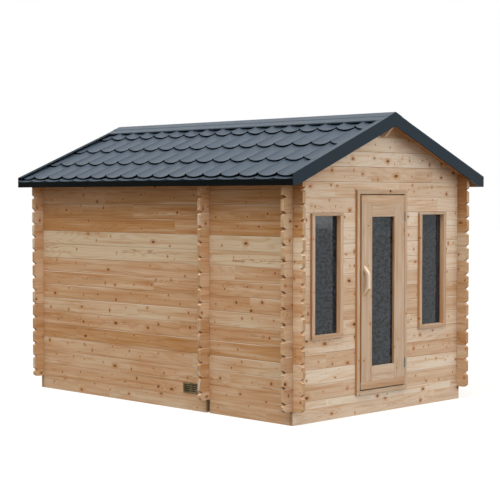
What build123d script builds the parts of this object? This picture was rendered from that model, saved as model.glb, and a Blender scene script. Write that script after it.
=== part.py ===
"""Outdoor sauna cabin of interlocking squared logs, with a gable roof of stepped metal tile.

Millimetres, +Z up. The origin is on the ground, under the middle of the cabin.
+X runs to the right along the front gable wall and -Y points out of the front door.
"""
import os
from math import atan, cos, sin, tan

from build123d import *

# Driving dimensions of the log walls
cabin_width = 2438.0
cabin_length = 3658.0
log_height = 140.0
wall_thickness = 38.0
course_count = 15
log_projection = 116.0
end_chamfer_run = 31.0
end_chamfer_rise = 21.0
neck_share = 0.5
joint_groove_width = 5.0
joint_groove_depth = 2.5
partition_from_front = 1067.0

# Base frame and floor
base_height = 127.0
base_board = 38.0
base_split_gap = 49.0
floor_thickness = 28.0
joist_spacing = 420.0

# Door, in the middle of the front wall or a little to its left
door_offset = -12.0
frame_board = 38.0
frame_depth = 89.0
door_frame_width = 731.0
door_frame_height = 1900.0
door_frame_above_base = 59.0
door_gap = 12.0
leaf_thickness = 38.0
leaf_proud = 6.5
stile_width = 152.0
top_rail_height = 69.0
upper_mid_rail_height = 131.0
bottom_rail_height = 72.0
lower_mid_rail_height = 137.0
glass_thickness = 6.0
glass_let_in = 8.0
door_glass_recess = 26.0
stop_width = 26.0
stop_thickness = 18.0
stop_gap = 6.0
solid_gap = 1.0

# Door handle, a wooden bow on the left stile
handle_foot_length = 281.0
handle_grip_length = 136.0
handle_reach = 62.0
handle_thickness = 32.0
handle_wood = 24.0
handle_above_leaf_bottom = 1006.0
handle_from_leaf_edge = 44.0

# Butt hinges on the right jamb
hinge_height = 92.0
hinge_barrel_radius = 6.5
hinge_pin_radius = 3.0
hinge_running_gap = 0.3
hinge_plate_thickness = 2.5
hinge_plate_width = 30.0
lower_hinge_from_leaf_end = 205.0
upper_hinge_from_leaf_end = 202.0
knuckle_gap = 0.6
knuckle_shares = (0.3, 0.7)

# Windows, one each side of the door
window_from_door_centre = 770.0
window_frame_width = 420.0
window_frame_height = 1130.0
window_head_height = 24.0
window_frame_above_base = 617.0
window_glass_recess = 51.0

# Doorway through the partition
inner_door_width = 650.0
courses_beside_doorways = 13

# Roof
roof_rise = 5.0
roof_run = 12.0
roof_overhang_side = 175.0
roof_overhang_end = 165.0
roof_board = 19.0
ridge_beam_width = 38.0
ridge_beam_depth = 140.0
ridge_beam_projection = 120.0
ridge_beam_end_cut = 70.0
eave_board = 19.0

# Stepped metal tile sheet and its trims
sheet_thickness = 1.5
tile_row_pitch = 380.0
tile_setback = 40.0
tile_step = 13.0
wave_count = 17
crest_height = 24.0
crest_half_width = 16.0
pan_sag = 14.0
pan_facets = 3
seat_gap = 0.3
trim_thickness = 1.5
barge_above_crests = 4.0
barge_depth = 125.0
barge_flange = 70.0
barge_lip = 16.0
fascia_depth = 54.0
fascia_flange = 120.0
fascia_lip = 18.0
cap_half_width = 200.0
cap_bead = 4.0

# Low air vent in the left wall, behind the partition
vent_behind_partition = 125.0
vent_length = 190.0
vent_height = 92.0
vent_above_base = 39.0
vent_plate = 8.0
vent_border = 12.0
vent_slat_count = 4

# Worked-out sizes
half_width = cabin_width / 2
front_face = -cabin_length / 2
rear_face = cabin_length / 2
slope = roof_rise / roof_run
slope_angle = atan(slope)
wall_top = base_height + course_count * log_height
ridge_underside = wall_top + slope * half_width
deck_ridge = ridge_underside + roof_board / cos(slope_angle)
roof_half_width = half_width + roof_overhang_side
slope_length = roof_half_width / cos(slope_angle)
roof_front = front_face - roof_overhang_end
roof_rear = rear_face + roof_overhang_end
partition_face = front_face + partition_from_front
frame_proud = (frame_depth - wall_thickness) / 2
door_left = door_offset - door_frame_width / 2
door_right = door_offset + door_frame_width / 2
door_frame_bottom = base_height + door_frame_above_base
door_frame_top = door_frame_bottom + door_frame_height
leaf_left = door_left + frame_board + door_gap
leaf_right = door_right - frame_board - door_gap
leaf_bottom = door_frame_bottom + frame_board + door_gap
leaf_top = door_frame_top - frame_board - door_gap
leaf_front = front_face - frame_proud - leaf_proud
leaf_back = leaf_front + leaf_thickness
door_glass_left = leaf_left + stile_width
door_glass_right = leaf_right - stile_width
door_glass_bottom = leaf_bottom + bottom_rail_height + lower_mid_rail_height
door_glass_top = leaf_top - top_rail_height - upper_mid_rail_height
door_glass_front = leaf_front + door_glass_recess
hinge_axis_x = leaf_right + door_gap / 2
hinge_axis_y = leaf_front - hinge_barrel_radius / 2
hinge_centres = (leaf_bottom + lower_hinge_from_leaf_end, leaf_top - upper_hinge_from_leaf_end)
handle_centre_height = leaf_bottom + handle_above_leaf_bottom
window_frame_bottom = base_height + window_frame_above_base
vent_bottom = base_height + vent_above_base
sheet_lift = trim_thickness + seat_gap + tile_step + sheet_thickness
barge_rise = (sheet_lift + crest_height + barge_above_crests) / cos(slope_angle)


def roof_underside(x):
    """Height of the underside of the roof boards, at a distance x from the ridge line."""
    return ridge_underside - slope * abs(x)


def deck_top(x):
    """Height of the top of the roof boards, at a distance x from the ridge line."""
    return deck_ridge - slope * abs(x)


def block(x_low, x_high, y_low, y_high, z_low, z_high):
    """A box given by its six faces."""
    centre = ((x_low + x_high) / 2, (y_low + y_high) / 2, (z_low + z_high) / 2)
    return Pos(*centre) * Box(x_high - x_low, y_high - y_low, z_high - z_low)


def outline(points):
    """A flat face inside a closed run of points."""
    return make_face(Polyline(*points, close=True))


def panel(left, right, bottom, top):
    """A flat rectangle given by its four edges."""
    return Pos((left + right) / 2, (bottom + top) / 2) * Rectangle(right - left, top - bottom)


def across(face, y_low, y_high):
    """Extrudes a face drawn in front elevation, between two depths."""
    plane = Plane(origin=(0, y_high, 0), x_dir=(1, 0, 0), z_dir=(0, -1, 0))
    return extrude(plane * face, amount=y_high - y_low)


def along(face, x_low, x_high):
    """Extrudes a face drawn in side elevation, between two distances from the ridge line."""
    plane = Plane(origin=(x_low, 0, 0), x_dir=(0, 1, 0), z_dir=(1, 0, 0))
    return extrude(plane * face, amount=x_high - x_low)


def solid_group(*pieces):
    """Several separate solids that share one node."""
    solids = [solid for piece in pieces for solid in piece.solids()]
    return Compound(children=solids)


# Log walls

def joint_heights(first_joint, top):
    """Heights of the horizontal joints between courses."""
    heights = []
    height = first_joint
    while height <= top:
        heights.append(height)
        height += log_height
    return heights


def notched_end(end, inward, bottom, top, joints):
    """Points up one end of a stack of logs, with a chamfer above and below every joint."""
    notch = end + inward * end_chamfer_run
    points = [(notch, bottom), (end, bottom + end_chamfer_rise)]
    for joint in joints:
        if bottom + end_chamfer_rise < joint <= top:
            points.append((end, joint - end_chamfer_rise))
            points.append((notch, joint))
        if bottom + end_chamfer_rise < joint < top:
            points.append((end, joint + end_chamfer_rise))
    if top not in joints:
        points.append((end, top))
    return points


def grooved_section(bottom, top, joints, outer_face, inner_face):
    """Upright section of a wall, with a fine V at each joint on its outer face."""
    half = joint_groove_width / 2
    inward = joint_groove_depth if inner_face > outer_face else -joint_groove_depth
    points = [(inner_face, bottom), (outer_face, bottom)]
    for joint in joints:
        if bottom + half < joint < top - half:
            points.append((outer_face, joint - half))
            points.append((outer_face + inward, joint))
            points.append((outer_face, joint + half))
    return outline(points + [(outer_face, top), (inner_face, top)])


def side_joints():
    """Joints of the long walls, which start with a whole log."""
    return joint_heights(base_height + log_height, wall_top - log_height)


def gable_joints():
    """Joints of the cross walls, which start with a half log."""
    return joint_heights(base_height + log_height / 2, ridge_underside)


def side_wall(x_face):
    """A long wall. The cross walls' necks pass through the slots left at each crossing."""
    joints = side_joints()
    top = wall_top + slope * wall_thickness
    front_end = front_face - log_projection
    rear_end = rear_face + log_projection
    front_edge = notched_end(front_end, 1, base_height, top, joints)
    rear_edge = notched_end(rear_end, -1, base_height, top, joints)
    elevation = outline(front_edge + rear_edge[::-1])
    for crossing in (front_face, partition_face, rear_face - wall_thickness):
        for course in range(course_count + 1):
            middle = base_height + course * log_height
            low = max(middle - neck_share * log_height / 2, base_height - 1)
            high = min(middle + neck_share * log_height / 2, top + 1)
            elevation -= panel(crossing, crossing + wall_thickness, low, high)
    wall = along(elevation, x_face, x_face + wall_thickness)
    section = grooved_section(base_height, top, joints, x_face, x_face + wall_thickness)
    courses = across(section, front_end, rear_end)
    under_roof = across(roof_space(), front_end, rear_end)
    return wall & courses & under_roof


def roof_space():
    """Everything in front elevation that lies under the roof boards."""
    reach = roof_half_width
    return outline([
        (-reach, 0), (reach, 0), (reach, roof_underside(reach)),
        (0, ridge_underside), (-reach, roof_underside(reach)),
    ])


def gable_elevation(bottom, top):
    """A cross wall in front elevation between two heights, cut with its corner slots."""
    end = half_width + log_projection
    joints = [joint for joint in gable_joints() if joint <= min(top, wall_top)]
    right_edge = notched_end(end, -1, bottom, top, joints)
    left_edge = notched_end(-end, 1, bottom, top, joints)
    elevation = outline(right_edge + left_edge[::-1])
    for course in range(course_count):
        middle = base_height + (course + 0.5) * log_height
        low = middle - (1 - neck_share) * log_height / 2
        high = middle + (1 - neck_share) * log_height / 2
        for crossing in (-half_width, half_width - wall_thickness):
            elevation -= panel(crossing, crossing + wall_thickness, low, high)
    return elevation


def cross_wall(y_face, bottom, top, cuts=(), faces_rear=False):
    """A stretch of a front, rear or partition wall, cut to the slope of the roof."""
    elevation = gable_elevation(bottom, top)
    for cut in cuts:
        elevation -= cut
    elevation = elevation & roof_space()
    faces = [y_face, y_face + wall_thickness]
    if faces_rear:
        faces.reverse()
    courses = along(grooved_section(bottom, top, gable_joints(), *faces),
                    -roof_half_width, roof_half_width)
    wall = across(elevation, y_face, y_face + wall_thickness) & courses
    return wall - ridge_beam_space(y_face)


def ridge_beam_space(y_face):
    """The slot for the ridge beam in a gable."""
    return block(-ridge_beam_width / 2, ridge_beam_width / 2, y_face, y_face + wall_thickness,
                 ridge_beam_bottom(), ridge_underside)


def sill_log_top():
    """Top of the half log that runs under a doorway."""
    return base_height + log_height / 2


def header_bottom():
    """Bottom of the course that runs across over both doorways."""
    return sill_log_top() + courses_beside_doorways * log_height


def window_centre(side):
    """Distance of a window's middle from the ridge line; side is -1 or 1."""
    return door_offset + side * window_from_door_centre


def window_cut(side):
    """The hole for one window, as large as its frame."""
    centre = window_centre(side)
    return panel(centre - window_frame_width / 2, centre + window_frame_width / 2,
                 window_frame_bottom, window_frame_bottom + window_frame_height)


def walls_beside(y_face, left, right, hole_top, windows):
    """The two stretches of a cross wall beside a doorway. Over a low one they meet in its middle."""
    far = roof_half_width + 1
    bottom = sill_log_top()
    top = header_bottom()
    middle = (left + right) / 2
    left_cuts = [panel(left, far, bottom, hole_top), panel(middle, far, bottom, top)]
    right_cuts = [panel(-far, right, bottom, hole_top), panel(-far, middle, bottom, top)]
    return (cross_wall(y_face, bottom, top, left_cuts + windows),
            cross_wall(y_face, bottom, top, right_cuts + windows))


# Ridge beam and roof boards

def ridge_beam_bottom():
    """Underside of the ridge beam."""
    return roof_underside(ridge_beam_width / 2) - ridge_beam_depth


def ridge_beam():
    """The beam under the ridge, with slanted ends below the overhangs."""
    low = ridge_beam_bottom()
    high = ridge_underside
    front = front_face - ridge_beam_projection
    rear = rear_face + ridge_beam_projection
    side = outline([
        (front, high), (front, low + ridge_beam_end_cut), (front + ridge_beam_end_cut, low),
        (rear - ridge_beam_end_cut, low), (rear, low + ridge_beam_end_cut), (rear, high),
    ])
    beam = along(side, -ridge_beam_width / 2, ridge_beam_width / 2)
    return beam & across(roof_space(), front, rear)


def roof_boards():
    """The boarded deck of the right slope."""
    rise = roof_board / cos(slope_angle)
    tip = roof_half_width - trim_thickness
    section = outline([
        (0, ridge_underside), (tip, roof_underside(tip)),
        (tip, roof_underside(tip) + rise), (0, ridge_underside + rise),
    ])
    return across(section, roof_front + trim_thickness, roof_rear - trim_thickness)


def eave_blocking():
    """The board under the edge of the deck, behind the metal fascia."""
    outer = roof_half_width - trim_thickness
    inner = outer - eave_board
    foot = fascia_bottom() + trim_thickness
    section = outline([
        (inner, foot), (outer, foot), (outer, roof_underside(outer)), (inner, roof_underside(inner)),
    ])
    inset = trim_thickness + roof_board
    return across(section, roof_front + inset, roof_rear - inset)


def barge_board(y_low):
    """The board inside a barge flashing, between the roof boards and the flashing's lip."""
    tip = roof_half_width - trim_thickness
    start = solid_gap / 2
    foot = fascia_bottom() + trim_thickness
    ridge_foot = deck_ridge + barge_rise - barge_depth + trim_thickness / cos(slope_angle)
    foot_x = (ridge_foot - foot) / slope
    section = outline([
        (start, roof_underside(start)), (tip, roof_underside(tip)), (tip, foot),
        (foot_x, foot), (start, ridge_foot - slope * start),
    ])
    return across(section, y_low, y_low + roof_board)


# Metal tile sheet

def wave_points():
    """The sheet's upper line across the slope: wide shallow pans between narrow crests."""
    length = roof_rear - roof_front - 2 * trim_thickness
    pitch = length / wave_count
    pan_width = pitch - 2 * crest_half_width
    points = [(-length / 2, crest_height)]
    for wave in range(wave_count):
        shoulder = -length / 2 + wave * pitch + crest_half_width
        for step in range(pan_facets + 1):
            share = step / pan_facets
            points.append((shoulder + share * pan_width, pan_sag * (2 * share - 1) ** 2))
        points.append((shoulder + pan_width + crest_half_width, crest_height))
    return points


def tile_row_starts():
    """Distances up the slope, from the eave, of the rows' lower edges."""
    starts = []
    distance = tile_setback
    while distance < slope_length:
        starts.append(distance)
        distance += tile_row_pitch
    return starts


def crest_top(x):
    """Height of the crests at a distance x from the ridge line."""
    distance = slope_length - x / cos(slope_angle)
    row_start = max(start for start in tile_row_starts() if start <= distance)
    drop = tile_step * (distance - row_start) / tile_row_pitch
    return deck_top(x) + (sheet_lift + crest_height - drop) / cos(slope_angle)


def tile_sheet():
    """The right slope's sheet: waved rows, each stepping down at its lower edge."""
    tilt = atan(tile_step / tile_row_pitch)
    lean = slope_angle - tilt
    row_direction = (-cos(lean), 0, sin(lean))
    points = wave_points()
    reach = points[-1][0]
    sheet_face = outline(points + [(reach, -sheet_thickness), (-reach, -sheet_thickness)])
    riser_face = panel(-reach, reach, -tile_step - sheet_thickness / 2, 0)
    sheet = None
    for distance in tile_row_starts():
        length = min(tile_row_pitch, slope_length - distance) + sheet_thickness / 2
        x = roof_half_width - distance * cos(slope_angle) + sheet_lift * sin(slope_angle)
        z = (deck_top(roof_half_width) + distance * sin(slope_angle)
             + sheet_lift * cos(slope_angle))
        plane = Plane(origin=(x, 0, z), x_dir=(0, -1, 0), z_dir=row_direction)
        row_sheet = extrude(plane * sheet_face, amount=length)
        row_sheet += extrude(plane * riser_face, amount=sheet_thickness)
        sheet = row_sheet if sheet is None else sheet + row_sheet
    over_slope = block(solid_gap / 2, roof_half_width, roof_front, roof_rear,
                       0, deck_ridge + barge_rise)
    return sheet & over_slope


def ridge_cap():
    """The folded cap over the ridge."""
    down = sheet_thickness / cos(slope_angle)
    top = deck_ridge + barge_rise + seat_gap + cap_bead + down
    reach = cap_half_width * cos(slope_angle)
    middle = reach / 2
    right_edge = [
        (0, top), (middle, top - slope * middle),
        (middle + cap_bead, top - slope * (middle + cap_bead) - cap_bead),
        (reach, top - slope * reach - cap_bead),
        (reach, top - slope * reach - cap_bead - down),
        (middle + cap_bead, top - slope * (middle + cap_bead) - cap_bead - down),
        (middle, top - slope * middle - down),
    ]
    mirrored = [(-x, z) for x, z in right_edge[1:]]
    section = outline(right_edge + [(0, top - down)] + mirrored[::-1])
    cap = across(section, roof_front, roof_rear)
    lip_top = top - slope * reach - cap_bead - down / 2
    lip_bottom = crest_top(reach - sheet_thickness) + seat_gap
    inset = barge_flange + solid_gap
    for edge in (-reach, reach - sheet_thickness):
        cap += block(edge, edge + sheet_thickness, roof_front + inset, roof_rear - inset,
                     lip_bottom, lip_top)
    return cap


def barge_flashing(y_face, inward):
    """The folded metal edge along the right slope of a gable; inward is 1 at the front.

    It has a flange on top, a face and a lip that turns in under the barge board.
    """
    start = solid_gap / 2
    tip = roof_half_width
    top = deck_ridge + barge_rise
    foot = fascia_bottom()
    foot_x = (top - barge_depth - foot) / slope
    face = outline([
        (start, top - slope * start), (tip, top - slope * tip), (tip, foot),
        (foot_x, foot), (start, top - barge_depth - slope * start),
    ])
    down = trim_thickness / cos(slope_angle)
    flange = outline([
        (start, top - slope * start), (tip, top - slope * tip),
        (tip, top - slope * tip - down), (start, top - slope * start - down),
    ])
    ridge_foot = top - barge_depth
    lip_end = tip - fascia_lip
    lip = outline([
        (start, ridge_foot - slope * start), (foot_x, foot), (lip_end, foot),
        (lip_end, foot + trim_thickness),
        (foot_x + (down - trim_thickness) / slope, foot + trim_thickness),
        (start, ridge_foot + down - slope * start),
    ])
    metal = None
    for shape, depth in ((face, trim_thickness), (flange, barge_flange), (lip, barge_lip)):
        fold = across(shape, *sorted((y_face, y_face + inward * depth)))
        metal = fold if metal is None else metal + fold
    return metal


def fascia_bottom():
    """Lowest edge of the metal fascia."""
    return deck_ridge - slope * roof_half_width - fascia_depth


def eave_fascia():
    """The metal fascia along the right eave: a flange on the deck, a face and a lip."""
    bottom = fascia_bottom()
    outer = roof_half_width
    inner = outer - trim_thickness
    reach = outer - fascia_flange * cos(slope_angle)
    rise = trim_thickness / cos(slope_angle)
    section = outline([
        (outer, bottom), (outer, deck_top(outer) + rise),
        (reach, deck_top(reach) + rise), (reach, deck_top(reach)), (inner, deck_top(inner)),
        (inner, bottom + trim_thickness),
        (outer - fascia_lip, bottom + trim_thickness), (outer - fascia_lip, bottom),
    ])
    return across(section, roof_front + trim_thickness, roof_rear - trim_thickness)


# Openings: frames, glass and the door

def frame_uprights(left, right, bottom, top, head):
    """Two upright boards between a frame's sill and its head."""
    y_low = front_face - frame_proud
    low = bottom + frame_board
    high = top - head
    return (block(left, left + frame_board, y_low, y_low + frame_depth, low, high),
            block(right - frame_board, right, y_low, y_low + frame_depth, low, high))


def frame_rails(left, right, bottom, top, head):
    """A frame's sill and its head."""
    y_low = front_face - frame_proud
    return (block(left, right, y_low, y_low + frame_depth, bottom, bottom + frame_board),
            block(left, right, y_low, y_low + frame_depth, top - head, top))


def window_parts(side):
    """The frame and the pane of one window."""
    centre = window_centre(side)
    left = centre - window_frame_width / 2
    right = centre + window_frame_width / 2
    bottom = window_frame_bottom
    top = window_frame_bottom + window_frame_height
    let_in = frame_board - glass_let_in
    pane_front = front_face - frame_proud + window_glass_recess
    pane = block(left + let_in, right - let_in, pane_front, pane_front + glass_thickness,
                 bottom + let_in, top - window_head_height + glass_let_in)
    uprights = frame_uprights(left, right, bottom, top, window_head_height)
    rails = frame_rails(left, right, bottom, top, window_head_height)
    return (solid_group(*[piece - pane for piece in uprights]),
            solid_group(*[piece - pane for piece in rails]), pane)


def door_stops():
    """Strips behind the leaf that it closes against."""
    y_low = leaf_back + stop_gap
    left = door_left + frame_board
    right = door_right - frame_board
    bottom = door_frame_bottom + frame_board
    top = door_frame_top - frame_board
    inner = stop_width + solid_gap
    return solid_group(
        block(left, left + stop_width, y_low, y_low + stop_thickness, bottom, top),
        block(right - stop_width, right, y_low, y_low + stop_thickness, bottom, top),
        block(left + inner, right - inner, y_low, y_low + stop_thickness, top - stop_width, top),
        block(left + inner, right - inner, y_low, y_low + stop_thickness,
              bottom, bottom + stop_width),
    )


def door_pane():
    """The long pane in the door."""
    return block(door_glass_left - glass_let_in, door_glass_right + glass_let_in,
                 door_glass_front, door_glass_front + glass_thickness,
                 door_glass_bottom - glass_let_in, door_glass_top + glass_let_in)


def door_stiles():
    """The two upright boards of the leaf, between its top and bottom rails."""
    low = leaf_bottom + bottom_rail_height
    high = leaf_top - top_rail_height
    pane = door_pane()
    left = block(leaf_left, door_glass_left, leaf_front, leaf_back, low, high)
    right = block(door_glass_right, leaf_right, leaf_front, leaf_back, low, high)
    return solid_group(left - pane, (right - pane) - hinge_sweep())


def door_outer_rails():
    """The full-width rails along the top and the bottom of the leaf."""
    return solid_group(
        block(leaf_left, leaf_right, leaf_front, leaf_back, leaf_top - top_rail_height, leaf_top),
        block(leaf_left, leaf_right, leaf_front, leaf_back,
              leaf_bottom, leaf_bottom + bottom_rail_height),
    )


def door_inner_rails():
    """The rails above and below the glass, between the stiles."""
    pane = door_pane()
    upper = block(door_glass_left, door_glass_right, leaf_front, leaf_back,
                  door_glass_top, leaf_top - top_rail_height)
    lower = block(door_glass_left, door_glass_right, leaf_front, leaf_back,
                  leaf_bottom + bottom_rail_height, door_glass_bottom)
    return solid_group(upper - pane, lower - pane)


def door_handle():
    """A bow of wood with sloped ends and a gap for the fingers."""
    foot = handle_foot_length / 2
    grip = handle_grip_length / 2
    face = leaf_front
    outer = outline([
        (face, handle_centre_height - foot), (face, handle_centre_height + foot),
        (face - handle_reach, handle_centre_height + grip),
        (face - handle_reach, handle_centre_height - grip),
    ])
    side_angle = atan((foot - grip) / handle_reach)
    inset = handle_wood / cos(side_angle)
    inner_reach = handle_reach - handle_wood
    inner_foot = foot - inset
    inner_grip = inner_foot - inner_reach * tan(side_angle)
    gap = outline([
        (face + 1, handle_centre_height - inner_foot), (face + 1, handle_centre_height + inner_foot),
        (face - inner_reach, handle_centre_height + inner_grip),
        (face - inner_reach, handle_centre_height - inner_grip),
    ])
    centre = leaf_left + handle_from_leaf_edge
    bow = along(outer - gap, centre - handle_thickness / 2, centre + handle_thickness / 2)
    grip_edges = bow.edges().filter_by(Axis.Z).group_by(Axis.Y)[0]
    return fillet(grip_edges, handle_wood / 4)


# Hinges

def hinge_cylinder(radius, low, high):
    """An upright round on the hinge line."""
    middle = (low + high) / 2
    return Pos(hinge_axis_x, hinge_axis_y, middle) * Cylinder(radius, high - low)


def hinge_sweep():
    """Room in the leaf's edge for the barrels."""
    cuts = None
    for centre in hinge_centres:
        low = centre - hinge_height / 2 - knuckle_gap
        high = centre + hinge_height / 2 + knuckle_gap
        room = hinge_cylinder(hinge_barrel_radius + hinge_running_gap, low, high)
        cuts = room if cuts is None else cuts + room
    return cuts


def frame_hinge(centre):
    """The half of a hinge on the jamb: plate, outer knuckles and pin."""
    low = centre - hinge_height / 2
    high = centre + hinge_height / 2
    jamb = door_right - frame_board
    first = low + knuckle_shares[0] * hinge_height
    second = low + knuckle_shares[1] * hinge_height
    plate = block(jamb - hinge_plate_thickness, jamb, hinge_axis_y,
                  hinge_axis_y + hinge_plate_width, low, high)
    plate -= hinge_cylinder(hinge_barrel_radius + hinge_running_gap,
                            first - knuckle_gap, second + knuckle_gap)
    knuckles = hinge_cylinder(hinge_barrel_radius, low, first)
    knuckles += hinge_cylinder(hinge_barrel_radius, second, high)
    return plate + knuckles + hinge_cylinder(hinge_pin_radius, low, high)


def leaf_hinge(centre):
    """The half of a hinge on the leaf: plate and middle knuckle."""
    low = centre - hinge_height / 2
    first = low + knuckle_shares[0] * hinge_height + knuckle_gap
    second = low + knuckle_shares[1] * hinge_height - knuckle_gap
    plate = block(leaf_right, leaf_right + hinge_plate_thickness, hinge_axis_y,
                  leaf_back, first, second)
    knuckle = hinge_cylinder(hinge_barrel_radius, first, second)
    bore = hinge_cylinder(hinge_pin_radius + hinge_running_gap, first - 1, second + 1)
    return (plate + knuckle) - bore


# Base, floor and vent

def skirt(x_low):
    """A side of the base, in two lengths with a gap under the partition."""
    middle = partition_face + wall_thickness / 2
    return solid_group(
        block(x_low, x_low + base_board, front_face + base_board,
              middle - base_split_gap / 2, 0, base_height),
        block(x_low, x_low + base_board, middle + base_split_gap / 2,
              rear_face - base_board, 0, base_height),
    )


def floor_joists():
    """Cross members of the two floor frames."""
    left = -half_width + base_board
    right = half_width - base_board
    middle = partition_face + wall_thickness / 2
    starts = [middle - base_split_gap / 2 - base_board, middle + base_split_gap / 2]
    starts.append(starts[0] - joist_spacing)
    place = starts[1] + joist_spacing
    while place < rear_face - base_board - joist_spacing / 2:
        starts.append(place)
        place += joist_spacing
    return solid_group(*[
        block(left, right, start, start + base_board, 0, base_height) for start in starts
    ])


def floor(y_low, y_high):
    """A boarded floor between the side walls."""
    inside = half_width - wall_thickness
    return block(-inside, inside, y_low, y_high, base_height, base_height + floor_thickness)


def vent():
    """A slatted plate over the low air inlet."""
    outer = -half_width
    y_low = partition_face + wall_thickness + vent_behind_partition
    top = vent_bottom + vent_height
    plate = block(outer - vent_plate, outer, y_low, y_low + vent_length, vent_bottom, top)
    clear_height = vent_height - 2 * vent_border
    slot = clear_height / (2 * vent_slat_count - 1)
    for slat in range(vent_slat_count):
        low = vent_bottom + vent_border + 2 * slat * slot
        plate -= block(outer - vent_plate, outer - vent_plate / 2, y_low + vent_border,
                       y_low + vent_length - vent_border, low, low + slot)
    return plate


def save(name, shape):
    """Writes one named node."""
    export_step(shape, "parts/" + name + ".step")


def save_pair(name, right_shape):
    """Writes a piece of the right slope and its mirror image on the left."""
    save(name + "_right", right_shape)
    save(name + "_left", mirror(right_shape, about=Plane.YZ))


def both_sides(right_shape):
    """A piece of the right side and its mirror image, in one node."""
    return solid_group(right_shape, mirror(right_shape, about=Plane.YZ))


def build():
    """Makes and writes every node."""
    os.makedirs("parts", exist_ok=True)

    save("left_wall", side_wall(-half_width))
    save("right_wall", mirror(side_wall(-half_width), about=Plane.YZ))
    save("rear_wall", cross_wall(rear_face - wall_thickness, base_height, ridge_underside,
                                 faces_rear=True))

    windows = [window_cut(-1), window_cut(1)]
    door_hole = panel(door_left, door_right, door_frame_bottom, door_frame_top)
    header = header_bottom()
    front_left, front_right = walls_beside(front_face, door_left, door_right, door_frame_top, windows)
    save("front_wall_left", front_left)
    save("front_wall_right", front_right)
    save("front_sill_log", cross_wall(front_face, base_height, sill_log_top(), [door_hole]))
    save("front_gable", cross_wall(front_face, header, ridge_underside, [door_hole] + windows))

    inner_left = -inner_door_width / 2 - frame_board
    inner_right = inner_door_width / 2 + frame_board
    room_left, room_right = walls_beside(partition_face, inner_left, inner_right, header, [])
    save("partition_left", room_left)
    save("partition_right", room_right)
    save("partition_sill_log", cross_wall(partition_face, base_height, sill_log_top()))
    save("partition_gable", cross_wall(partition_face, header, ridge_underside))
    lining_low = partition_face - frame_proud
    save("partition_doorway_posts", solid_group(
        block(inner_left, inner_left + frame_board, lining_low, lining_low + frame_depth,
              sill_log_top(), header),
        block(inner_right - frame_board, inner_right, lining_low, lining_low + frame_depth,
              sill_log_top(), header),
    ))

    save("base_front_board", block(-half_width, half_width, front_face, front_face + base_board,
                                   0, base_height))
    save("base_rear_board", block(-half_width, half_width, rear_face - base_board, rear_face,
                                  0, base_height))
    save("base_side_boards", both_sides(skirt(half_width - base_board)))
    save("floor_joists", floor_joists())
    save("changing_room_floor", floor(front_face + wall_thickness, partition_face))
    save("sauna_room_floor", floor(partition_face + wall_thickness, rear_face - wall_thickness))

    save("ridge_beam", ridge_beam())
    save_pair("roof_boards", roof_boards())
    save_pair("tile_sheet", tile_sheet())
    save("eave_fascias", both_sides(eave_fascia()))
    save("eave_boards", both_sides(eave_blocking()))
    save("front_barge_boards", both_sides(barge_board(roof_front + trim_thickness)))
    save("rear_barge_boards", both_sides(barge_board(roof_rear - trim_thickness - roof_board)))
    save("front_barge_flashings", both_sides(barge_flashing(roof_front, 1)))
    save("rear_barge_flashings", both_sides(barge_flashing(roof_rear, -1)))
    save("ridge_cap", ridge_cap())

    door_frame = (door_left, door_right, door_frame_bottom, door_frame_top, frame_board)
    save("door_frame_posts", solid_group(*frame_uprights(*door_frame)))
    save("door_frame_head_and_sill", solid_group(*frame_rails(*door_frame)))
    save("door_stops", door_stops())
    window_names = ("window_frame_sides", "window_heads_and_sills", "window_panes")
    for name, left_piece, right_piece in zip(window_names, window_parts(-1), window_parts(1)):
        save(name, solid_group(left_piece, right_piece))
    save("low_air_vent", vent())

    save("door_stiles", door_stiles())
    save("door_outer_rails", door_outer_rails())
    save("door_inner_rails", door_inner_rails())
    save("door_glass", door_pane())
    save("door_handle", door_handle())
    save("frame_hinges", solid_group(*[frame_hinge(centre) for centre in hinge_centres]))
    save("door_hinges", solid_group(*[leaf_hinge(centre) for centre in hinge_centres]))


build()
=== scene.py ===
"""Looks of the outdoor sauna cabin: log wood, stepped metal tile, glass, steel and soft studio light."""
import math

import bpy
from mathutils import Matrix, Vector


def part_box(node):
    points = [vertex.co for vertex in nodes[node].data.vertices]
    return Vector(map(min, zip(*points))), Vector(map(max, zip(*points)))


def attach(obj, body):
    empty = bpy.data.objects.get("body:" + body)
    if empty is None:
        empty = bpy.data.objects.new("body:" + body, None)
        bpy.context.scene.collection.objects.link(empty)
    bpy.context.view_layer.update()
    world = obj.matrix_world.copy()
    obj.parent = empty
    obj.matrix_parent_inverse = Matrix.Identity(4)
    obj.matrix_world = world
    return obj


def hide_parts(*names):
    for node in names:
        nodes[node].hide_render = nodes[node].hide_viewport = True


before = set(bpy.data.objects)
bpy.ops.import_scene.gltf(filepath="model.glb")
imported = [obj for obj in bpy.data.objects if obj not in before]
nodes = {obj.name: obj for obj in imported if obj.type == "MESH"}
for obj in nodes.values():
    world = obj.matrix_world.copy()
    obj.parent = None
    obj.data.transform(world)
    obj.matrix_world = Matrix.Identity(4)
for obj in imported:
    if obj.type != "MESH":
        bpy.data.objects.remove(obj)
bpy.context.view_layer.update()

X, Y, Z = 0, 1, 2

# Sizes in metres, as in the part's frame
LOG_HEIGHT = 0.140
HALF_LOG = LOG_HEIGHT / 2
BASE_HEIGHT = 0.127
HALF_LENGTH = 1.829
WINDOW_SPACING = 0.770
TRIM_THICKNESS = 0.0015
ROOF_SLOPE = math.atan(5.0 / 12.0)

# Rounded edges
EDGE_ROUNDING = 0.0016
JOINERY_ROUNDING = 0.0026
ROUNDED_ANGLE = 60.0
WELD_DISTANCE = 0.00001

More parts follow.
